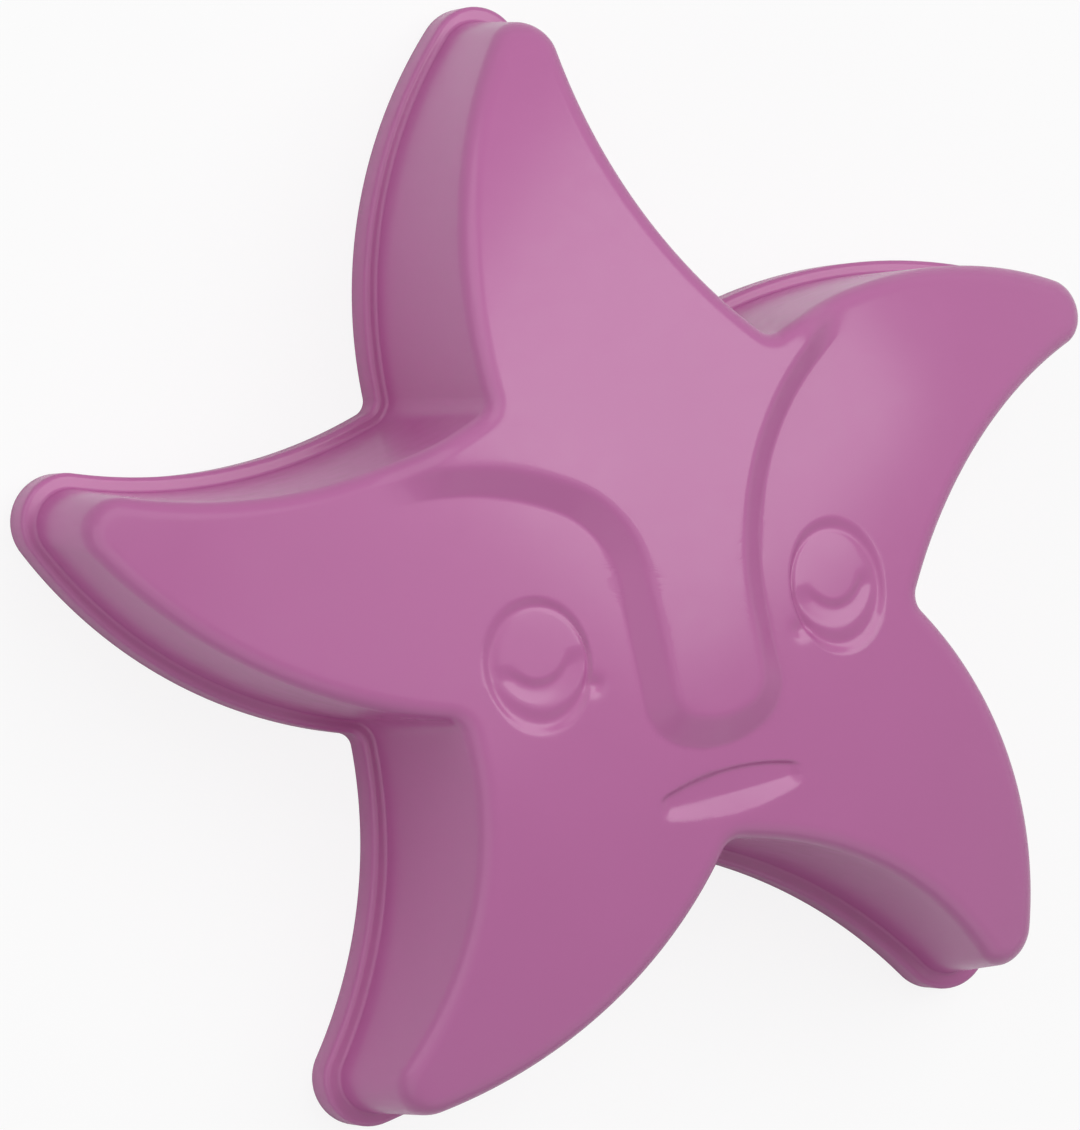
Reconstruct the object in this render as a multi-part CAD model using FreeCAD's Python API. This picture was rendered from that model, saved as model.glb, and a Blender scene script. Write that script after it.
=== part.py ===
# Starfish sand mould: one thin-walled shell, open underneath, with a face in relief on its crown.
# Millimetres. The rim stands on z = 0 and the crown points up. The face looks up along +Z with its
# forehead arm towards +Y. The origin is the bottom centre of the mould's box.
import FreeCAD, Part
import math
import os

Vector = FreeCAD.Vector
UP = Vector(0, 0, 1)

# Rim, seen from above: five like arms, each a tip arc between a bulging and a hollow side
arm_count = 5
rim_arm_angle = 87.6          # direction of the first arm's tip
rim_tip_reach = 60.7          # centre of the star to the centre of a tip arc
rim_tip_radius = 5.4
rim_notch_angle = 127.9       # direction of the notch after the first arm
rim_notch_reach = 33.2        # centre of the star to the centre of a notch arc
rim_notch_radius = 1.8
rim_bulging_radius = 54.5
rim_hollow_radius = 56.5

# Rim, seen from the side: an upright skirt, a ledge and the foot of the wall
skirt_height = 4.6
ledge_width = 1.4
shoulder_radius = 0.7
wall_foot_radius = 0.4
wall_thickness = 1.8

# Crown, seen from above: the outline that the leaning wall reaches at the total height
total_height = 39.4
crown_arm_angle = 90.2
crown_tip_reach = 58.6
crown_tip_radius = 3.8
crown_notch_angle = 127.5
crown_notch_reach = 31.4
crown_notch_radius = 2.2
crown_bulging_radius = 55.0
crown_hollow_radius = 50.0

# Crown, seen from the side: a domed face, and the forehead arm and nose one step above it
dome_radius = 127.0
forehead_step = 2.2
crown_edge_radius = 2.8

# Forehead and nose, seen from above: middle line of the slope round them, at the dome's top
nose_x = 0.5
nose_half_width = 6.2
nose_end_y = -15.1
left_side_length = 11.0       # straight stretch of the nose's side before the first bend
left_brow_bends = ((16.5, 49.0), (41.0, 14.0))    # radius and turn in degrees of each bend
right_side_length = 0.5
right_brow_bends = ((56.0, 32.0), (20.0, 16.0))
brow_spread = 12.0            # how far the forehead's outline spreads between a brow and far out
step_slope_run = 3.2          # plan width of the slope that makes the step
step_slope_depth = 10.0       # how far below the total height the slope can meet the falling dome
step_edge_radius = 0.9

# Eyes: a groove round each eye and a raised round pupil in it
left_eye_x = -18.3
right_eye_x = 17.7
eye_y = -4.3
eye_ring_radius = 6.0
eye_groove_radius = 0.9
eye_groove_depth = 0.5
pupil_radius = 3.9
pupil_height = 0.5
pupil_rise = 0.7              # how far the pupil's centre is above the eye's, towards the forehead

# Mouth: a shallow pan between two arcs, with a steep upper side and a wide slope as its lower lip
mouth_x = 0.6
mouth_corner_y = -23.2
mouth_depth = 0.7
mouth_rim = (8.8, 2.1, 3.2)   # half length, and how far its arcs bow above and below the corners
mouth_floor = (8.0, 1.8, 0.8)

# Levels and limits worked out from the sizes above
dome_centre = Vector(0, 0, total_height - forehead_step - dome_radius)
slope_angle = math.atan2(forehead_step, step_slope_run)
overshoot = 4.0               # how far cutting bodies run past what they cut
far_out = rim_tip_reach + rim_tip_radius + overshoot
touching = 0.01               # how near two surfaces count as one


def polar(reach, degrees):
    angle = math.radians(degrees)
    return Vector(reach * math.cos(angle), reach * math.sin(angle), 0)


def toward(start, end, distance):
    return start + (end - start).normalize() * distance


def circles_meet(centre_a, radius_a, centre_b, radius_b, side):
    """One crossing of two circles in the XY plane: side +1 is left of the line from a to b."""
    gap = centre_b.distanceToPoint(centre_a)
    along = (radius_a ** 2 - radius_b ** 2 + gap ** 2) / (2 * gap)
    across = math.sqrt(radius_a ** 2 - along ** 2)
    direction = (centre_b - centre_a) / gap
    left = UP.cross(direction)
    return centre_a + direction * along + left * (side * across)


def arc_edge(centre, start, end, facing):
    """Arc about centre from start to end, with its middle towards the point facing."""
    middle = toward(centre, facing, start.distanceToPoint(centre))
    return Part.Arc(start, middle, end).toShape()


def star_wire(star, inset, height):
    """Closed outline of tangent arcs, drawn in from the star's own outline by inset."""
    (arm_angle, tip_reach, tip_radius, notch_angle, notch_reach, notch_radius,
     bulging_radius, hollow_radius) = star
    pitch = 360.0 / arm_count
    centre = Vector(0, 0, 0)
    edges = []
    for arm in range(arm_count):
        tip = polar(tip_reach, arm_angle + arm * pitch)
        next_tip = polar(tip_reach, arm_angle + (arm + 1) * pitch)
        notch_before = polar(notch_reach, notch_angle + (arm - 1) * pitch)
        notch = polar(notch_reach, notch_angle + arm * pitch)
        hollow = circles_meet(notch_before, hollow_radius - notch_radius,
                              tip, hollow_radius + tip_radius, -1)
        bulging = circles_meet(tip, bulging_radius - tip_radius,
                               notch, bulging_radius + notch_radius, 1)
        next_hollow = circles_meet(notch, hollow_radius - notch_radius,
                                   next_tip, hollow_radius + tip_radius, -1)
        hollow_start = toward(hollow, notch_before, hollow_radius + inset)
        hollow_end = toward(hollow, tip, hollow_radius + inset)
        bulging_start = toward(bulging, tip, bulging_radius - inset)
        bulging_end = toward(bulging, notch, bulging_radius - inset)
        next_start = toward(next_hollow, notch, hollow_radius + inset)
        edges.append(arc_edge(hollow, hollow_start, hollow_end, (hollow_start + hollow_end) / 2))
        edges.append(arc_edge(tip, hollow_end, bulging_start, tip * 2))
        edges.append(arc_edge(bulging, bulging_start, bulging_end,
                              (bulging_start + bulging_end) / 2))
        edges.append(arc_edge(notch, bulging_end, next_start, centre))
    wire = Part.Wire(edges)
    wire.translate(Vector(0, 0, height))
    return wire


rim_star = (rim_arm_angle, rim_tip_reach, rim_tip_radius, rim_notch_angle, rim_notch_reach,
            rim_notch_radius, rim_bulging_radius, rim_hollow_radius)
crown_star = (crown_arm_angle, crown_tip_reach, crown_tip_radius, crown_notch_angle,
              crown_notch_reach, crown_notch_radius, crown_bulging_radius, crown_hollow_radius)


def skirt_solid(inset, bottom, top):
    """Upright prism on the rim's outline."""
    return Part.Face(star_wire(rim_star, inset, bottom)).extrude(Vector(0, 0, top - bottom))


def wall_solid(inset):
    """The star's body up to the total height: its sides lean in and its top is still flat."""
    foot = star_wire(rim_star, ledge_width + inset, 0)
    top = star_wire(crown_star, inset, total_height)
    return Part.makeLoft([foot, top], True, True)


def dome_solid(level):
    """Ball whose top is the face's dome, raised by level. Its seam and poles stay out of the way."""
    ball = Part.makeSphere(dome_radius + level, Vector(0, 0, 0), Vector(1, 0, 0), -90, 90, 360)
    ball.rotate(Vector(0, 0, 0), Vector(1, 0, 0), 90)
    ball.translate(dome_centre)
    return ball


def on_dome(edge, level):
    """Whether an edge runs on the dome that dome_solid(level) has."""
    middle = edge.valueAt((edge.FirstParameter + edge.LastParameter) / 2)
    points = [vertex.Point for vertex in edge.Vertexes] + [middle]
    radius = dome_radius + level
    return all(abs(point.distanceToPoint(dome_centre) - radius) < touching for point in points)


def domed_body(inset, level, edge_radius):
    """The star's body under a dome, with its crown edge rounded."""
    body = wall_solid(inset).common(dome_solid(level))
    crown_edges = [edge for edge in body.Edges if on_dome(edge, level)]
    return body.makeFillet(edge_radius, crown_edges)


def bend_points(side_length, bends, inset):
    """Start, middle and end of each bend of a brow, drawn in from its middle line by inset."""
    place = Vector(nose_half_width, nose_end_y + nose_half_width + side_length, 0)
    turned = 0.0
    points = []
    for radius, turn in bends:
        centre = place + polar(radius, -turned)
        points.append([centre - polar(radius + inset, -turned - turn * part) for part in (0, 0.5, 1)])
        turned += turn
        place = centre - polar(radius, -turned)
    return points


def brow_side(side_length, bends, inset):
    """Edges of the right side of a forehead's outline, from the nose's end to far behind its arm."""
    side_foot = Vector(nose_half_width - inset, nose_end_y + nose_half_width, 0)
    curves = bend_points(side_length, bends, inset)
    leaving = curves[-1][2]
    edges = [Part.makeLine(side_foot, curves[0][0])]
    edges += [Part.Arc(*curve).toShape() for curve in curves]
    edges.append(Part.makeLine(leaving, Vector(leaving.x + brow_spread, far_out, 0)))
    return edges


def brow_wire(inset, height):
    """Outline of the nose and the forehead, which closes far outside the first arm."""
    right = brow_side(right_side_length, right_brow_bends, inset)
    left = [edge.mirror(Vector(0, 0, 0), Vector(1, 0, 0))
            for edge in brow_side(left_side_length, left_brow_bends, inset)]
    nose_end = Part.Arc(left[0].Vertexes[0].Point, Vector(0, nose_end_y + inset, 0),
                        right[0].Vertexes[0].Point).toShape()
    far_side = Part.makeLine(right[-1].Vertexes[-1].Point, left[-1].Vertexes[-1].Point)
    wire = Part.Wire(Part.sortEdges([nose_end] + right + [far_side] + left)[0])
    wire.translate(Vector(nose_x, 0, height))
    return wire


def brow_solid(inset):
    """Block over the nose and forehead, whose sides have the slope of the step round the nose."""
    low = total_height - step_slope_depth
    middle = total_height - forehead_step / 2
    slope = 1 / math.tan(slope_angle)
    low_wire = brow_wire(inset - (middle - low) * slope, low)
    high_wire = brow_wire(inset + (total_height - middle) * slope, total_height)
    block = Part.makeLoft([low_wire, high_wire], True, True)
    return block.fuse(Part.Face(low_wire).extrude(Vector(0, 0, -low)))


def edges_on(shape, solid):
    """Edges of a shape whose middle lies on the surface of a solid."""
    found = []
    for edge in shape.Edges:
        middle = Part.Vertex(edge.valueAt((edge.FirstParameter + edge.LastParameter) / 2))
        if solid.Shells[0].distToShape(middle)[0] < touching:
            found.append(edge)
    return found


def crowned_body(inset, edge_radius):
    """The star's body drawn in by inset on all sides, with its domed face and raised forehead."""
    face = domed_body(inset, -inset, edge_radius)
    forehead = domed_body(inset, forehead_step - inset, edge_radius)
    brow = brow_solid(inset / math.sin(slope_angle))
    return face.cut(brow).fuse(forehead.common(brow)).removeSplitter()


def round_step(body):
    """Rounds the upper and lower edges of the step, from one brow's end round the nose to the other."""
    left_end = nose_x - bend_points(left_side_length, left_brow_bends, 0)[-1][2].x
    right_end = nose_x + bend_points(right_side_length, right_brow_bends, 0)[-1][2].x
    step_edges = [edge for edge in edges_on(body, brow_solid(0))
                  if (on_dome(edge, 0) or on_dome(edge, forehead_step))
                  and left_end < edge.BoundBox.Center.x < right_end]
    return body.makeFillet(step_edge_radius, step_edges)


def on_face(x, y, level):
    """Point of the face's dome above x, y, raised by level along the dome's own normal."""
    height = math.sqrt(dome_radius ** 2 - x ** 2 - y ** 2)
    return toward(dome_centre, dome_centre + Vector(x, y, height), dome_radius + level)


def eye_groove(eye_x):
    """Ring that cuts the round groove of one eye."""
    centre = on_face(eye_x, eye_y, eye_groove_radius - eye_groove_depth)
    return Part.makeTorus(eye_ring_radius, eye_groove_radius, centre, centre - dome_centre)


def eye_pupil(eye_x):
    """Low round button that stands on the face inside the groove, with a slope round it."""
    root = wall_thickness / 2
    foot = on_face(eye_x, eye_y + pupil_rise, -root)
    return Part.makeCone(pupil_radius + root, pupil_radius - pupil_height, root + pupil_height,
                         foot, foot - dome_centre)


def mouth_wire(share):
    """Outline of the mouth at its floor (share 0), at its rim (share 1) or above it, lying flat."""
    half_length, above, below = [floor + (rim - floor) * share
                                 for floor, rim in zip(mouth_floor, mouth_rim)]
    height = mouth_depth * (share - 1)
    left, right = [Vector(x, 0, height) for x in (-half_length, half_length)]
    return Part.Wire([Part.Arc(left, Vector(0, above, height), right).toShape(),
                      Part.Arc(right, Vector(0, -below, height), left).toShape()])


def mouth_pan(level):
    """Body that cuts the mouth into a face raised by level. It stands out of the face."""
    pan = Part.makeLoft([mouth_wire(0), mouth_wire(2)], True, True)
    corner_line = on_face(mouth_x, mouth_corner_y, level)
    pan.Placement = FreeCAD.Placement(corner_line, FreeCAD.Rotation(UP, corner_line - dome_centre))
    return pan


def outer_body():
    """Everything inside the mould's outer surface."""
    skirt = skirt_solid(0, 0, skirt_height)
    shoulder = [edge for edge in skirt.Edges if edge.BoundBox.ZMin > skirt_height - touching]
    skirt = skirt.makeFillet(shoulder_radius, shoulder)
    body = round_step(crowned_body(0, crown_edge_radius)).fuse(skirt).removeSplitter()
    at_ledge = [edge for edge in edges_on(body, wall_solid(0))
                if abs(edge.BoundBox.Center.z - skirt_height) < touching]
    body = body.makeFillet(wall_foot_radius, at_ledge)
    for eye_x in (left_eye_x, right_eye_x):
        body = body.cut(eye_groove(eye_x)).fuse(eye_pupil(eye_x))
    return body.cut(mouth_pan(0))


def inner_body():
    """The hollow that the sand fills, open underneath."""
    cavity = crowned_body(wall_thickness, crown_edge_radius - wall_thickness)
    skirt = skirt_solid(wall_thickness, -overshoot, skirt_height - wall_thickness)
    return cavity.cut(mouth_pan(-wall_thickness)).fuse(skirt)


def mould_shell():
    shell = outer_body().cut(inner_body())
    box = star_wire(rim_star, 0, 0).optimalBoundingBox(False, False)
    shell.translate(Vector(-box.Center.x, -box.Center.y, 0))
    return shell.Solids[0]


os.makedirs("parts", exist_ok=True)
shell = mould_shell()
shell.exportStep("parts/mould_shell.step")
print("mould_shell", shell.isValid(), round(shell.Volume), shell.BoundBox)
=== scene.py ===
import math

import bmesh
import bpy
from mathutils import Matrix, Vector


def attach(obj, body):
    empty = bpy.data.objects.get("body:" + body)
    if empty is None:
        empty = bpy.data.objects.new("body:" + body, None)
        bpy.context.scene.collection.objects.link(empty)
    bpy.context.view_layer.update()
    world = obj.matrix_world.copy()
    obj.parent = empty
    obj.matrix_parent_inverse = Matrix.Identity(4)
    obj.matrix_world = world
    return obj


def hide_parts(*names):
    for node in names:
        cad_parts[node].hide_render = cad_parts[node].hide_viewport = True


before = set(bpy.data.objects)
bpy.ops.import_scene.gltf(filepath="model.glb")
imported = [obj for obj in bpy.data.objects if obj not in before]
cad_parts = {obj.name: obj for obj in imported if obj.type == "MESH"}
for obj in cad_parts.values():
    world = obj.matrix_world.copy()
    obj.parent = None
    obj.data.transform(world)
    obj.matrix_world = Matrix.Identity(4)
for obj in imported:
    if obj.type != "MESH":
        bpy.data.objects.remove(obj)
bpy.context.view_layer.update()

# The outline of the star
# The mould is one thin shell of polypropylene, injection-moulded in a two-part tool. Seen from above,
# its rim is a star of five curling arms, and the crown is a second star, drawn in by the draft of the
# wall so that the moulding comes off the tool. Its sizes are millimetres until its mesh is whole.
ARMS = 5
STAR_CENTRE = Vector((-0.786, -5.044, 0.0))
TOTAL_HEIGHT = 39.4
RIM = {"arm_angle": 87.6, "tip_reach": 60.7, "tip_radius": 5.4, "notch_angle": 127.9,
       "notch_reach": 33.2, "notch_radius": 1.8, "bulging_radius": 54.5, "hollow_radius": 56.5}
CROWN = {"arm_angle": 90.2, "tip_reach": 58.6, "tip_radius": 3.8, "notch_angle": 127.5,
         "notch_reach": 31.4, "notch_radius": 2.2, "bulging_radius": 55.0, "hollow_radius": 50.0}
STEPS_PER_ARC = {"hollow": 34, "tip": 22, "bulging": 34, "notch": 10}
SPOKES = ARMS * sum(STEPS_PER_ARC.values())


def polar(reach, degrees):
    return Vector((reach * math.cos(math.radians(degrees)), reach * math.sin(math.radians(degrees)), 0))


def circles_meet(centre_a, radius_a, centre_b, radius_b, side):
    """The crossing of two circles that lies left (1) or right (-1) of the line from a to b."""
    between = centre_b - centre_a
    gap = between.length
    along = (radius_a ** 2 - radius_b ** 2 + gap ** 2) / (2 * gap)
    across = math.sqrt(radius_a ** 2 - along ** 2)
    direction = between / gap
    left = Vector((-direction.y, direction.x, 0))
    return centre_a + direction * along + left * (side * across)


def spokes_of(star):
    """For each spoke: its arc's centre, the way out, the radius, and 1 (hollow) or -1 (bulging)."""
    pitch = 360.0 / ARMS
    spokes = []
    for arm in range(ARMS):
        tip = polar(star["tip_reach"], star["arm_angle"] + arm * pitch)
        notch_before = polar(star["notch_reach"], star["notch_angle"] + (arm - 1) * pitch)
        notch = polar(star["notch_reach"], star["notch_angle"] + arm * pitch)
        next_tip = polar(star["tip_reach"], star["arm_angle"] + (arm + 1) * pitch)
        hollow = circles_meet(notch_before, star["hollow_radius"] - star["notch_radius"],
                              tip, star["hollow_radius"] + star["tip_radius"], -1)
        bulging = circles_meet(tip, star["bulging_radius"] - star["tip_radius"],
                               notch, star["bulging_radius"] + star["notch_radius"], 1)
        next_hollow = circles_meet(notch, star["hollow_radius"] - star["notch_radius"],
                                   next_tip, star["hollow_radius"] + star["tip_radius"], -1)
        arcs = (("hollow", hollow, star["hollow_radius"], 1, notch_before - hollow, tip - hollow),
                ("tip", tip, star["tip_radius"], -1, hollow - tip, tip - bulging),
                ("bulging", bulging, star["bulging_radius"], -1, tip - bulging, notch - bulging),
                ("notch", notch, star["notch_radius"], 1, bulging - notch, notch - next_hollow))
        for name, centre, radius, hollow_sign, start, end in arcs:
            start_angle = math.atan2(start.y, start.x)
            turn = math.atan2(end.y, end.x) - start_angle
            turn = (turn + math.pi) % (2 * math.pi) - math.pi
            for step in range(STEPS_PER_ARC[name]):
                angle = start_angle + turn * (step + 0.5) / STEPS_PER_ARC[name]
                spokes.append((centre, Vector((math.cos(angle), math.sin(angle), 0)), radius, hollow_sign))
    return spokes


RIM_SPOKES = spokes_of(RIM)
CROWN_SPOKES = spokes_of(CROWN)


def on_outline(spokes, spoke, inset):
    """The place where a spoke meets the outline, drawn in from it by inset."""
    centre, way_out, radius, hollow_sign = spokes[spoke]
    return centre + way_out * (radius + hollow_sign * inset)


# The crown's surface
# The crown is a low dome. The forehead arm and the nose are moulded one step above the rest of the
# face; the step dies out along the upper edges of the two arms beside the forehead. The lengths are
# those of the middle line of the step's slope. Its foot is nearly sharp and its top well rounded.
DOME_RADIUS = 127.0
FOREHEAD_STEP = 2.2
NOSE = {"middle_x": 0.6, "end_y": -16.9, "half_width": 6.8, "end_radius": 9.5, "corner_radius": 4.8,
        "end_run": 3.4, "widens_from": 9.0, "widens_to": 1.0}
LEFT_BROW = {"start_y": 2.4, "radius": 11.8, "turn": 56.0, "far_radius": 29.0, "run": 3.3,
             "fades_from": 23.0, "fades_to": 31.0}
RIGHT_BROW = {"start_y": -5.3, "radius": 30.8, "turn": 90.0, "far_radius": 30.8, "run": 2.6,
              "fades_from": 20.0, "fades_to": 27.0}
STEP_FOOT_ROUNDING = 0.4
STEP_TOP_ROUNDING = 1.2


def ease(value, start, end):
    """0 before start and 1 after end, with a smooth turn between them."""
    share = min(1.0, max(0.0, (value - start) / (end - start)))
    return share * share * (3 - 2 * share)


def rounded_ramp(distance, run, foot_rounding, top_rounding):
    """0 to 1 across a straight slope of that run, whose foot and top are each rounded over a length."""
    def area_under(position, rounding):
        half = rounding / 2
        if position <= -half:
            return 0.0
        if position >= half:
            return position
        return (position + half) ** 2 / (2 * rounding)
    past_foot = area_under(distance + run / 2, foot_rounding)
    past_top = area_under(distance - run / 2, top_rounding)
    return (past_foot - past_top) / run


def inside_nose_end(across, y):
    """How far a point lies inside the end of the nose: a wide arc between two rounder corners."""
    centre_y = NOSE["end_y"] + NOSE["end_radius"]
    corner_x = NOSE["half_width"] - NOSE["corner_radius"]
    corner_drop = math.sqrt((NOSE["end_radius"] - NOSE["corner_radius"]) ** 2 - corner_x ** 2)
    below = centre_y - y
    if abs(across) * corner_drop < corner_x * below:
        return NOSE["end_radius"] - math.hypot(across, below)
    if below > corner_drop:
        return NOSE["corner_radius"] - math.hypot(abs(across) - corner_x, below - corner_drop)
    return NOSE["half_width"] - abs(across)


def inside_brow(brow, across, y):
    """How far a point lies inside a brow: a close bend at the side of the nose, then a wide one."""
    near_x = NOSE["half_width"] + brow["radius"]
    if math.atan2(y - brow["start_y"], near_x - across) < math.radians(brow["turn"]):
        return math.hypot(across - near_x, y - brow["start_y"]) - brow["radius"]
    extra = brow["far_radius"] - brow["radius"]
    far_x = near_x + extra * math.cos(math.radians(brow["turn"]))
    far_y = brow["start_y"] - extra * math.sin(math.radians(brow["turn"]))
    return math.hypot(across - far_x, y - far_y) - brow["far_radius"]


def forehead_step(x, y):
    """How far a point lies inside the step's middle line, the run of the slope beside it, and the
    share of the step's height that is left there."""
    across = x - NOSE["middle_x"]
    brow = RIGHT_BROW if across > 0 else LEFT_BROW
    if y > brow["start_y"]:
        share = 1 - ease(abs(across), brow["fades_from"], brow["fades_to"])
        return inside_brow(brow, abs(across), y), brow["run"], share
    near_end = ease(y, NOSE["end_y"] + NOSE["widens_from"], NOSE["end_y"] + NOSE["widens_to"])
    return inside_nose_end(across, y), brow["run"] + (NOSE["end_run"] - brow["run"]) * near_end, 1.0


def crown_height(x, y):
    """Height of the crown without its eyes and mouth."""
    dome = TOTAL_HEIGHT - FOREHEAD_STEP - DOME_RADIUS + math.sqrt(DOME_RADIUS ** 2 - x * x - y * y)
    inside, run, share = forehead_step(x, y)
    return dome + FOREHEAD_STEP * share * rounded_ramp(inside, run, STEP_FOOT_ROUNDING, STEP_TOP_ROUNDING)


# The eyes and the mouth
# Shallow relief in the same skin. Each eye is a ball sunk in an upright oval groove: its upper edge
# lies level with the groove's floor and its lower edge stands up, a pupil ends on it in a crescent, and
# a small dent marks the corner beside the nose. The mouth is a crease with a wide slope below it.
EYE_X = {-1: -18.2, 1: 17.7}
EYE = {"y": -4.9, "half_width": 5.4, "half_height": 6.35, "groove_depth": 0.55, "ball_rise": 0.62,
       "ball_power": 0.6, "middle": 0.02, "reach": 1.5}
LID_RUN = {"side": 0.65, "outward": 0.25, "above_and_below": 0.85}
BALL_RUN = {"least": 0.3, "outward": 0.8, "below": 1.3}
PUPIL = {"rise": 1.3, "radius": 3.8, "slope_run": 1.3, "drop": 0.52, "recovery": 0.36, "recovery_run": 2.2,
         "fade_run": 2.4}
EYE_CORNER = {"out": -5.5, "up": -3.6, "radius": 1.1, "depth": 0.5, "steepness": 1.5}
MOUTH = {"x": 0.6, "half_length": 8.9, "depth": 0.6, "upper_y": -21.1, "crease_run": 0.5, "lip_y": -24.0,
         "lower_y": -26.5, "bend": 1.6, "fades_from": 0.8}
FINE_MESH = {"least_share": 0.02, "beside_eye": 2.2, "above_mouth": 0.4}


def ball_height(out, up):
    """Height of the eyeball over the face: it rises from under the upper lid to its lower edge."""
    down = 0.5 - up / (2 * EYE["half_height"])
    height = -EYE["groove_depth"] + EYE["ball_rise"] * max(0.0, down) ** EYE["ball_power"]
    off_pupil = math.hypot(out, up - PUPIL["rise"]) - PUPIL["radius"]
    below = ease(PUPIL["rise"] - up, 0, PUPIL["fade_run"])
    drop = PUPIL["drop"] * ease(off_pupil, -PUPIL["slope_run"], 0)
    return height - below * (drop - PUPIL["recovery"] * ease(off_pupil, 0, PUPIL["recovery_run"]))


def eye_relief(x, y):
    """Height that an eye adds to the crown; oval is 0 in its middle and 1 along its groove."""
    side = 1 if x > 0 else -1
    out = side * (x - EYE_X[side])
    up = y - EYE["y"]
    oval = math.hypot(out / EYE["half_width"], up / EYE["half_height"])
    if oval > EYE["reach"]:
        return 0.0
    if oval < EYE["middle"]:
        return ball_height(out, up)
    outward = out / EYE["half_width"] / oval
    upward = up / EYE["half_height"] / oval
    off_groove = math.hypot(out, up) * (1 - 1 / oval)
    if off_groove > 0:
        lid_run = LID_RUN["side"] + LID_RUN["outward"] * outward + LID_RUN["above_and_below"] * upward ** 2
        height = -EYE["groove_depth"] * (1 - ease(off_groove, 0, lid_run))
    else:
        ball_run = (BALL_RUN["least"] + BALL_RUN["outward"] * max(0, outward)
                    + BALL_RUN["below"] * max(0, -upward))
        rise = ball_height(out, up) + EYE["groove_depth"]
        height = -EYE["groove_depth"] + rise * ease(-off_groove, 0, ball_run)
    off_corner = math.hypot(out - EYE_CORNER["out"], up - EYE_CORNER["up"]) / EYE_CORNER["radius"]
    return height - EYE_CORNER["depth"] * math.exp(-off_corner ** 2 * EYE_CORNER["steepness"])


def mouth_relief(x, y):
    """Height that the mouth adds to the crown: down over the crease, and slowly up again below it."""
    across = (x - MOUTH["x"]) / MOUTH["half_length"]
    if abs(across) >= 1:
        return 0.0
    below_crease = MOUTH["upper_y"] - MOUTH["bend"] * across ** 2 - y
    lower = MOUTH["lower_y"] + MOUTH["bend"] * across ** 2
    lip_share = min(1.0, max(0.0, (MOUTH["lip_y"] - y) / (MOUTH["lip_y"] - lower)))
    depth = MOUTH["depth"] * (1 - ease(abs(across), MOUTH["fades_from"], 1))
    return -depth * (ease(below_crease, 0, MOUTH["crease_run"]) - lip_share)


def face_height(x, y):
    return crown_height(x, y) + eye_relief(x, y) + mouth_relief(x, y)


def near_relief(x, y):
    """Whether a point is on or beside the step, an eye or the mouth, where the mesh is finer."""
    inside, run, share = forehead_step(x, y)
    on_step = share > FINE_MESH["least_share"] and abs(inside) < run / 2 + STEP_TOP_ROUNDING / 2
    off_eye = min(math.hypot(x - eye_x, y - EYE["y"]) for eye_x in EYE_X.values()) - EYE["half_height"]
    mouth_top = MOUTH["upper_y"] + FINE_MESH["above_mouth"]
    on_mouth = abs(x - MOUTH["x"]) < MOUTH["half_length"] and MOUTH["lower_y"] < y < mouth_top
    return on_step or off_eye < FINE_MESH["beside_eye"] or on_mouth


# The outer skin
# From the rim up: an upright skirt with a rounded shoulder, a narrow ledge, the leaning wall, the
# rounded edge of the crown, and the crown itself, drawn in ring by ring to the middle of the face.
SKIRT_HEIGHT = 4.6
RIM_ROUNDING = 0.25
SHOULDER_RADIUS = 0.7
LEDGE_WIDTH = 1.4
WALL_FOOT_RADIUS = 0.4
CROWN_EDGE_WIDTH = 2.0
RIM_RINGS = 3
SHOULDER_RINGS = 6
WALL_FOOT_RINGS = 4
WALL_RINGS = 8
EDGE_RINGS = 10
CROWN_RINGS = 66
CORNER_ROUNDS = 5
WALL_SAMPLE = 5.0
CURL = {"most": 0.11, "widest_at": 38.0, "none_at": 62.0}
TIP_SPOKE = STEPS_PER_ARC["hollow"] + STEPS_PER_ARC["tip"] / 2
NOT_RAISED = -100.0  # the crown's vertices wait at this height until their mesh is refined


def wall_point(spoke, height, inset):
    """A point of the leaning wall, drawn in from it by inset."""
    foot = on_outline(RIM_SPOKES, spoke, LEDGE_WIDTH + inset)
    top = on_outline(CROWN_SPOKES, spoke, inset)
    point = foot.lerp(top, height / TOTAL_HEIGHT)
    return Vector((point.x, point.y, height))


def crown_edge(spoke, inset, width, drop):
    """Points of the rounded edge on one spoke, from the wall up to the crown. The sharp corner where
    wall and crown would meet is found in a few rounds, as both of them change along the spoke."""
    corner = wall_point(spoke, TOTAL_HEIGHT, inset)
    for _ in range(CORNER_ROUNDS):
        corner = wall_point(spoke, crown_height(corner.x, corner.y) - drop, inset)
    down = (wall_point(spoke, corner.z - WALL_SAMPLE, inset) - corner).normalized()
    inner = wall_point(spoke, corner.z, inset + width)
    inner.z = crown_height(inner.x, inner.y) - drop
    inward = inner - corner
    half_angle = down.angle(inward) / 2
    radius = inward.length * math.tan(half_angle)
    centre = corner + (down + inward.normalized()).normalized() * (radius / math.sin(half_angle))
    start = (corner + down * inward.length - centre).normalized()
    end = (inner - centre).normalized()
    return [centre + start.slerp(end, step / EDGE_RINGS) * radius for step in range(EDGE_RINGS + 1)]


def arm_curl(reach):
    """How far the arms' middle lines have turned, in radians, at this distance from the centre."""
    share = (reach - CURL["widest_at"]) / (CURL["none_at"] - CURL["widest_at"])
    if reach < CURL["widest_at"]:
        share = 1 - reach / CURL["widest_at"]
    return CURL["most"] * (1 - share * share)


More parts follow.
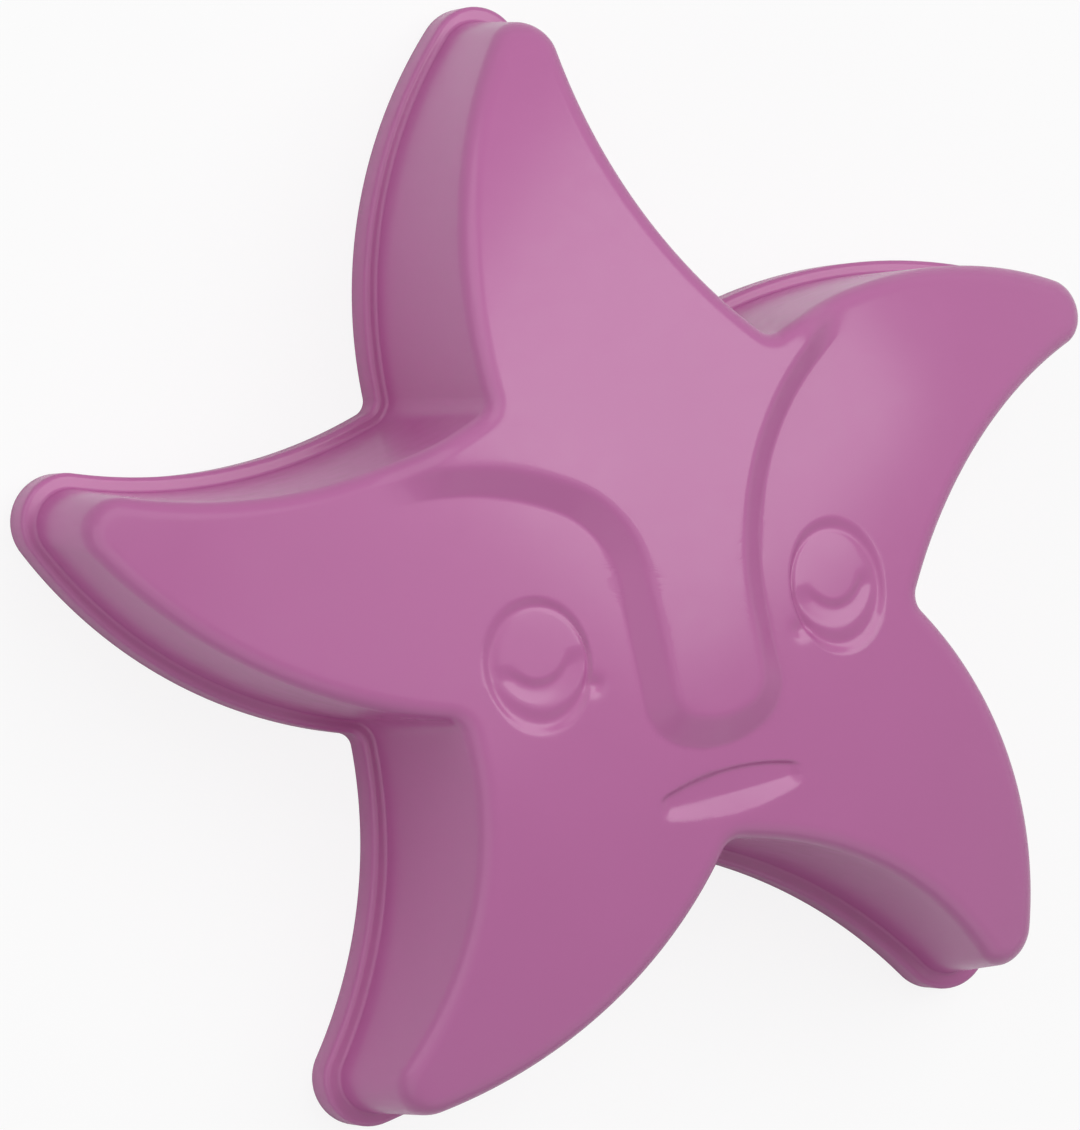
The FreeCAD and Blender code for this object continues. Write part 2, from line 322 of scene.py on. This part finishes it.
def crown_place(spoke, edge_place, share):
    """A spoke's place on a ring of the crown: spokes curl with the arms and spread out evenly inwards."""
    reach = math.hypot(edge_place.x, edge_place.y)
    angle = math.atan2(edge_place.y, edge_place.x) - arm_curl(reach)
    even = math.radians(CROWN["arm_angle"] + (spoke - TIP_SPOKE) * 360.0 / SPOKES)
    difference = (even - angle + math.pi) % (2 * math.pi) - math.pi
    angle += difference * (1 - share) + arm_curl(reach * share)
    return Vector((reach * share * math.cos(angle), reach * share * math.sin(angle), 0))


def next_ring(shell, ring, places):
    """Draws the skin one ring further, with each spoke's new vertex at its place."""
    around = [shell.edges.get((a, b)) for a, b in zip(ring, ring[1:] + ring[:1])]
    drawn = bmesh.ops.extrude_edge_only(shell, edges=around)["geom"]
    fresh = {vertex for vertex in drawn if isinstance(vertex, bmesh.types.BMVert)}
    ahead = [next(edge.other_vert(vertex) for edge in vertex.link_edges
                  if edge.other_vert(vertex) in fresh) for vertex in ring]
    for vertex, place in zip(ahead, places):
        vertex.co = place
    return ahead


def rim_ring(inset, height):
    points = [on_outline(RIM_SPOKES, spoke, inset) for spoke in range(SPOKES)]
    return [Vector((point.x, point.y, height)) for point in points]


def arc(steps):
    """Angles from 0 to a right angle."""
    return [math.pi / 2 * step / steps for step in range(steps + 1)]


shell = bmesh.new()
rim_foot = bmesh.ops.create_circle(shell, cap_ends=False, segments=SPOKES, radius=RIM["tip_reach"])["verts"]
for vertex, place in zip(rim_foot, rim_ring(RIM_ROUNDING, 0)):
    vertex.co = place
ring = rim_foot
for turn in arc(RIM_RINGS)[1:]:
    ring = next_ring(shell, ring, rim_ring(RIM_ROUNDING * (1 - math.sin(turn)),
                                           RIM_ROUNDING * (1 - math.cos(turn))))
for turn in arc(SHOULDER_RINGS):
    ring = next_ring(shell, ring, rim_ring(SHOULDER_RADIUS * (1 - math.cos(turn)),
                                           SKIRT_HEIGHT - SHOULDER_RADIUS * (1 - math.sin(turn))))
for turn in arc(WALL_FOOT_RINGS):
    inset = WALL_FOOT_RADIUS * (math.sin(turn) - 1)
    height = SKIRT_HEIGHT + WALL_FOOT_RADIUS * (1 - math.cos(turn))
    ring = next_ring(shell, ring, [wall_point(spoke, height, inset) for spoke in range(SPOKES)])
edges = [crown_edge(spoke, 0, CROWN_EDGE_WIDTH, 0) for spoke in range(SPOKES)]
foot_height = SKIRT_HEIGHT + WALL_FOOT_RADIUS
for step in range(1, WALL_RINGS):
    ring = next_ring(shell, ring, [
        wall_point(spoke, foot_height + (edges[spoke][0].z - foot_height) * step / WALL_RINGS, 0)
        for spoke in range(SPOKES)])
for step in range(EDGE_RINGS + 1):
    ring = next_ring(shell, ring, [edge[step] for edge in edges])
crown_rim = [edge[-1] for edge in edges]
for step in range(1, CROWN_RINGS):
    share = 1 - step / CROWN_RINGS
    places = [crown_place(spoke, edge_place, share) for spoke, edge_place in enumerate(crown_rim)]
    ring = next_ring(shell, ring, [(place.x, place.y, NOT_RAISED) for place in places])
bmesh.ops.pointmerge(shell, verts=ring, merge_co=(0, 0, NOT_RAISED))

# The hollow
# The inside follows the outside at the thickness of the wall, as in any moulding of even thickness:
# nothing is on it but the back of the step and of the mouth. Its mesh has half as many spokes.
WALL_THICKNESS = 1.8
HOLLOW_RINGS = 40


def hollow_ring(height, inset):
    points = [on_outline(RIM_SPOKES, spoke, inset) for spoke in range(0, SPOKES, 2)]
    return [Vector((point.x, point.y, height)) for point in points]


def hollow_height(x, y):
    return crown_height(x, y) + mouth_relief(x, y) - WALL_THICKNESS


ring = next_ring(shell, rim_foot, rim_ring(WALL_THICKNESS - RIM_ROUNDING, 0))
bmesh.ops.weld_verts(shell, targetmap=dict(zip(ring[1::2], ring[0::2])))
ring = ring[0::2]
for turn in arc(RIM_RINGS)[1:]:
    ring = next_ring(shell, ring, hollow_ring(RIM_ROUNDING * (1 - math.cos(turn)),
                                              WALL_THICKNESS - RIM_ROUNDING * (1 - math.sin(turn))))
ledge_height = SKIRT_HEIGHT - WALL_THICKNESS
ring = next_ring(shell, ring, hollow_ring(ledge_height, WALL_THICKNESS))
edges = [crown_edge(spoke, WALL_THICKNESS, CROWN_EDGE_WIDTH - WALL_THICKNESS, WALL_THICKNESS)
         for spoke in range(0, SPOKES, 2)]
for step in range(WALL_RINGS):
    ring = next_ring(shell, ring, [
        wall_point(2 * pair, ledge_height + (edge[0].z - ledge_height) * step / WALL_RINGS, WALL_THICKNESS)
        for pair, edge in enumerate(edges)])
for step in range(0, EDGE_RINGS + 1, 2):
    ring = next_ring(shell, ring, [edge[step] for edge in edges])
hollow_rim = [edge[-1] for edge in edges]
for step in range(1, HOLLOW_RINGS):
    share = 1 - step / HOLLOW_RINGS
    places = [crown_place(2 * pair, edge_place, share) for pair, edge_place in enumerate(hollow_rim)]
    ring = next_ring(shell, ring, [(place.x, place.y, hollow_height(place.x, place.y)) for place in places])
bmesh.ops.pointmerge(shell, verts=ring, merge_co=(0, 0, hollow_height(0, 0)))

relief_edges = [edge for edge in shell.edges
                if all(vertex.co.z == NOT_RAISED for vertex in edge.verts)
                and near_relief(*((edge.verts[0].co + edge.verts[1].co) / 2).xy)]
bmesh.ops.subdivide_edges(shell, edges=relief_edges, cuts=1, use_grid_fill=True)
for vertex in shell.verts:
    if vertex.co.z == NOT_RAISED:
        vertex.co.z = face_height(vertex.co.x, vertex.co.y)

bmesh.ops.recalc_face_normals(shell, faces=shell.faces)
for face in shell.faces:
    face.smooth = True
bmesh.ops.translate(shell, verts=shell.verts, vec=STAR_CENTRE)
METRES_PER_MM = 0.001
bmesh.ops.scale(shell, verts=shell.verts, vec=(METRES_PER_MM, METRES_PER_MM, METRES_PER_MM))
shell_mesh = bpy.data.meshes.new("star_shell")
shell.to_mesh(shell_mesh)
shell.free()
star_shell = bpy.data.objects.new("star_shell", shell_mesh)
bpy.context.collection.objects.link(star_shell)
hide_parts("mould_shell")
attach(star_shell, "root")

# The plastic
# Polypropylene coloured all through and moulded against a polished tool: an even, glossy, slightly
# milky skin. It shows faint waves where it shrank, and the fine scuffs of a toy that is played with.


def linear(hex_colour):
    """Linear red, green and blue of an sRGB hex colour."""
    channels = [int(hex_colour[place:place + 2], 16) / 255 for place in (1, 3, 5)]
    return tuple(c / 12.92 if c <= 0.04045 else ((c + 0.055) / 1.055) ** 2.4 for c in channels) + (1.0,)


def add_node(tree, kind, settings=None, inputs=None):
    """Adds one node. Inputs are values, or (node, output) pairs to link, and a socket is given by its
    name, or by its number where the node has several of one name."""
    node = tree.nodes.new(kind)
    for name, value in (settings or {}).items():
        setattr(node, name, value)
    for name, value in (inputs or {}).items():
        if isinstance(value, tuple) and isinstance(value[0], bpy.types.Node):
            tree.links.new(value[0].outputs[value[1]], node.inputs[name])
        else:
            node.inputs[name].default_value = value
    return node


MM_PER_METRE = 1000.0
SHRINK_WAVE = 14.0
SCUFF_SIZE = 2.5
MIX_COLOURS = (6, 7)  # sockets of the mix node: the two colours, and the mixed one that it gives
MIXED_COLOUR = 2
plastic = bpy.data.materials.new("moulded_polypropylene")
plastic.use_nodes = True
tree = plastic.node_tree
tree.nodes.clear()
place = add_node(tree, "ShaderNodeTexCoord")
shrink = add_node(tree, "ShaderNodeTexNoise", {}, {
    "Vector": (place, "Object"), "Scale": MM_PER_METRE / SHRINK_WAVE, "Detail": 1.0})
tint = add_node(tree, "ShaderNodeMix", {"data_type": "RGBA"}, {
    "Factor": (shrink, 0), MIX_COLOURS[0]: linear("#BA67A0"), MIX_COLOURS[1]: linear("#BE6AA4")})
scuff = add_node(tree, "ShaderNodeTexNoise", {}, {
    "Vector": (place, "Object"), "Scale": MM_PER_METRE / SCUFF_SIZE, "Detail": 6.0})
gloss = add_node(tree, "ShaderNodeMapRange", {}, {"Value": (scuff, 0), "From Min": 0.3, "From Max": 0.7,
                                                   "To Min": 0.2, "To Max": 0.26})
waves = add_node(tree, "ShaderNodeBump", {}, {"Height": (shrink, 0), "Strength": 0.02, "Distance": 0.001})
surface = add_node(tree, "ShaderNodeBsdfPrincipled", {}, {
    "Base Color": (tint, MIXED_COLOUR), "Roughness": (gloss, 0), "Normal": (waves, 0), "IOR": 1.49})
add_node(tree, "ShaderNodeOutputMaterial", {}, {"Surface": (surface, 0)})
shell_mesh.materials.append(plastic)

# Where it stands, the light and the camera
# A plain white table in a white room, with broad soft lamps, and a camera above and to the left. The
# room is bright where it is seen or mirrored and dim as a light, so that the lamps shape the face. The
# table lies a little below the rim, so that the two don't share a plane. Places here are in metres.
TABLE_REACH = 3.0
TABLE_DROP = 0.0001
TABLE_WHITE = 0.86
ROOM_AS_LIGHT = 0.2
ROOM_AS_SEEN = 1.0
floor_mesh = bpy.data.meshes.new("table_top")
floor_shape = bmesh.new()
bmesh.ops.create_grid(floor_shape, x_segments=1, y_segments=1, size=TABLE_REACH,
                      matrix=Matrix.Translation((0, 0, -TABLE_DROP)))
floor_shape.to_mesh(floor_mesh)
floor_shape.free()
table_top = bpy.data.objects.new("table_top", floor_mesh)
bpy.context.collection.objects.link(table_top)
white_top = bpy.data.materials.new("white_table")
white_top.use_nodes = True
tree = white_top.node_tree
tree.nodes.clear()
paint = add_node(tree, "ShaderNodeBsdfDiffuse", {}, {"Color": linear("#F4F4F4")})
bright = add_node(tree, "ShaderNodeEmission", {}, {"Color": (1, 1, 1, 1), "Strength": 1.0})
path = add_node(tree, "ShaderNodeLightPath")
seen = add_node(tree, "ShaderNodeMath", {"operation": "MULTIPLY"}, {
    0: (path, "Is Camera Ray"), 1: TABLE_WHITE})
blend = add_node(tree, "ShaderNodeMixShader", {}, {0: (seen, 0), 1: (paint, 0), 2: (bright, 0)})
add_node(tree, "ShaderNodeOutputMaterial", {}, {"Surface": (blend, 0)})
floor_mesh.materials.append(white_top)

room = bpy.data.worlds.new("white_room")
bpy.context.scene.world = room
room.use_nodes = True
tree = room.node_tree
tree.nodes.clear()
path = add_node(tree, "ShaderNodeLightPath")
seen = add_node(tree, "ShaderNodeMath", {"operation": "MAXIMUM"}, {
    0: (path, "Is Camera Ray"), 1: (path, "Is Transmission Ray")})
seen = add_node(tree, "ShaderNodeMath", {"operation": "MAXIMUM"}, {
    0: (seen, 0), 1: (path, "Is Glossy Ray")})
level = add_node(tree, "ShaderNodeMapRange", {}, {
    "Value": (seen, 0), "To Min": ROOM_AS_LIGHT, "To Max": ROOM_AS_SEEN})
sky = add_node(tree, "ShaderNodeBackground", {}, {"Color": (1, 1, 1, 1), "Strength": (level, 0)})
add_node(tree, "ShaderNodeOutputWorld", {}, {"Surface": (sky, 0)})

CAMERA_PLACE = Vector((-0.3455, 0.0720, 0.9255))
CAMERA_RIGHT = Vector((0.90617, -0.22759, 0.35644))
CAMERA_UP = Vector((0.24035, 0.97065, 0.00872))


def soft_lamp(name, place, size, watts):
    """A square lamp that faces the mould."""
    data = bpy.data.lights.new(name, "AREA")
    data.size = size
    data.energy = watts
    lamp = bpy.data.objects.new(name, data)
    lamp.location = place
    lamp.rotation_euler = (-lamp.location).to_track_quat("-Z", "Y").to_euler()
    bpy.context.collection.objects.link(lamp)


soft_lamp("lamp_right", (0.40, 0.25, 0.85), size=0.8, watts=5.2)
soft_lamp("lamp_behind", (-0.50, 0.65, 0.60), size=0.7, watts=1.6)
soft_lamp("lamp_left", (-0.95, 0.15, 0.40), size=0.7, watts=1.2)
soft_lamp("lamp_front_left", (-0.80, -0.50, 0.40), size=0.7, watts=0.6)
soft_lamp("lamp_front", (0.10, -0.95, 0.40), size=0.7, watts=0.4)
soft_lamp("lamp_above", (-0.15, 0.10, 1.00), size=0.7, watts=0.9)

camera_data = bpy.data.cameras.new("camera")
camera_data.sensor_width = 36.0
camera_data.lens = 278.67
camera_data.shift_x = -0.02185
camera_data.shift_y = 0.01700
camera_data.clip_end = 20.0
camera = bpy.data.objects.new("camera", camera_data)
bpy.context.collection.objects.link(camera)
facing = Matrix((CAMERA_RIGHT, CAMERA_UP, CAMERA_RIGHT.cross(CAMERA_UP))).transposed()
camera.rotation_euler = facing.to_euler()
camera.location = CAMERA_PLACE
bpy.context.scene.camera = camera
bpy.context.scene.view_settings.view_transform = "Standard"
